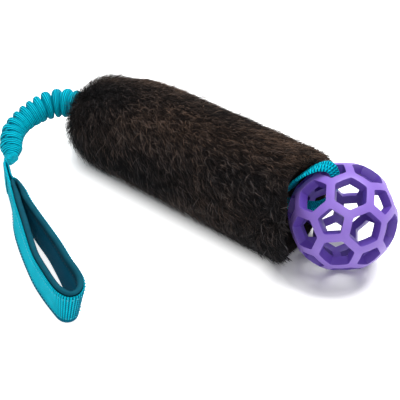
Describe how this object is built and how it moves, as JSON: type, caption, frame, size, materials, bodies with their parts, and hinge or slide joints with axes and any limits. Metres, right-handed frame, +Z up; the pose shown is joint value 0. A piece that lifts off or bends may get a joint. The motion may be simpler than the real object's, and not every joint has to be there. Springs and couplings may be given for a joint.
{
  "type": "bungee ball tug toy",
  "caption": "Dog tug toy: a plush fur sleeve with an open lattice ball on a webbing loop at its mouth, and a gathered bungee to a padded hand loop.",
  "frame": {"origin": "on the floor under the middle of the fur sleeve, on the flat that it rests on", "axes": "+Z up; +X along the sleeve from its closed end towards the ball; the handle lies on the -Y side"},
  "size_m": [0.3537, 0.2345, 0.0851],
  "materials": {
    "fur_pile": "dense long plush pile, near-black dark brown",
    "ribbed_webbing": "cross-ribbed nylon webbing, bright teal",
    "padded_lining": "soft padded knit, dark teal",
    "ball_rubber": "satin moulded rubber, purple",
    "elastic_core": "covered elastic cord",
    "sewing_thread": "bonded polyester thread"
  },
  "bodies": {
    "sleeve": {"fur_sleeve": "fur_pile", "core_webbing": "ribbed_webbing"},
    "ball_loop": {"ball_strap": "ribbed_webbing", "strap_tack": "sewing_thread"},
    "ball": {"lattice_ball": "ball_rubber"},
    "bungee": {"neck_webbing": "ribbed_webbing", "neck_tack": "sewing_thread", "gathered_cover": "ribbed_webbing", "elastic_cord": "elastic_core"},
    "bungee_end": {"bungee_tail": "ribbed_webbing"},
    "handle": {"handle_webbing": "ribbed_webbing", "handle_lining": "padded_lining", "handle_tack": "sewing_thread", "lower_seam": "sewing_thread", "upper_seam": "sewing_thread"}
  },
  "joints": [
    {"name": "bungee_swing", "type": "hinge", "parent": "sleeve", "child": "bungee", "pos_m": [-0.1235, 0.0117, 0.0418], "axis": [0, 0, 1], "range_deg": [-35, 15]},
    {"name": "bungee_stretch", "type": "slide", "parent": "bungee", "child": "bungee_end", "axis": [-0.1516, -0.9884, 0], "range_m": [0, 0.06], "stiffness_N_per_m": 400, "deforming": ["gathered_cover", "elastic_cord"]},
    {"name": "handle_swing", "type": "hinge", "parent": "bungee_end", "child": "handle", "pos_m": [-0.1345, -0.0821, 0.0243], "axis": [0, 0, -1], "range_deg": [-12, 45]},
    {"name": "ball_swing", "type": "hinge", "parent": "sleeve", "child": "ball_loop", "pos_m": [0.0655, -0.0012, 0.0273], "axis": [0, 0, 1], "range_deg": [-9, 0]},
    {"name": "ball_rock", "type": "hinge", "parent": "ball_loop", "child": "ball", "pos_m": [0.139, 0.0036, 0.0415], "axis": [0, 1, 0], "range_deg": [-3, 4]}
  ]
}
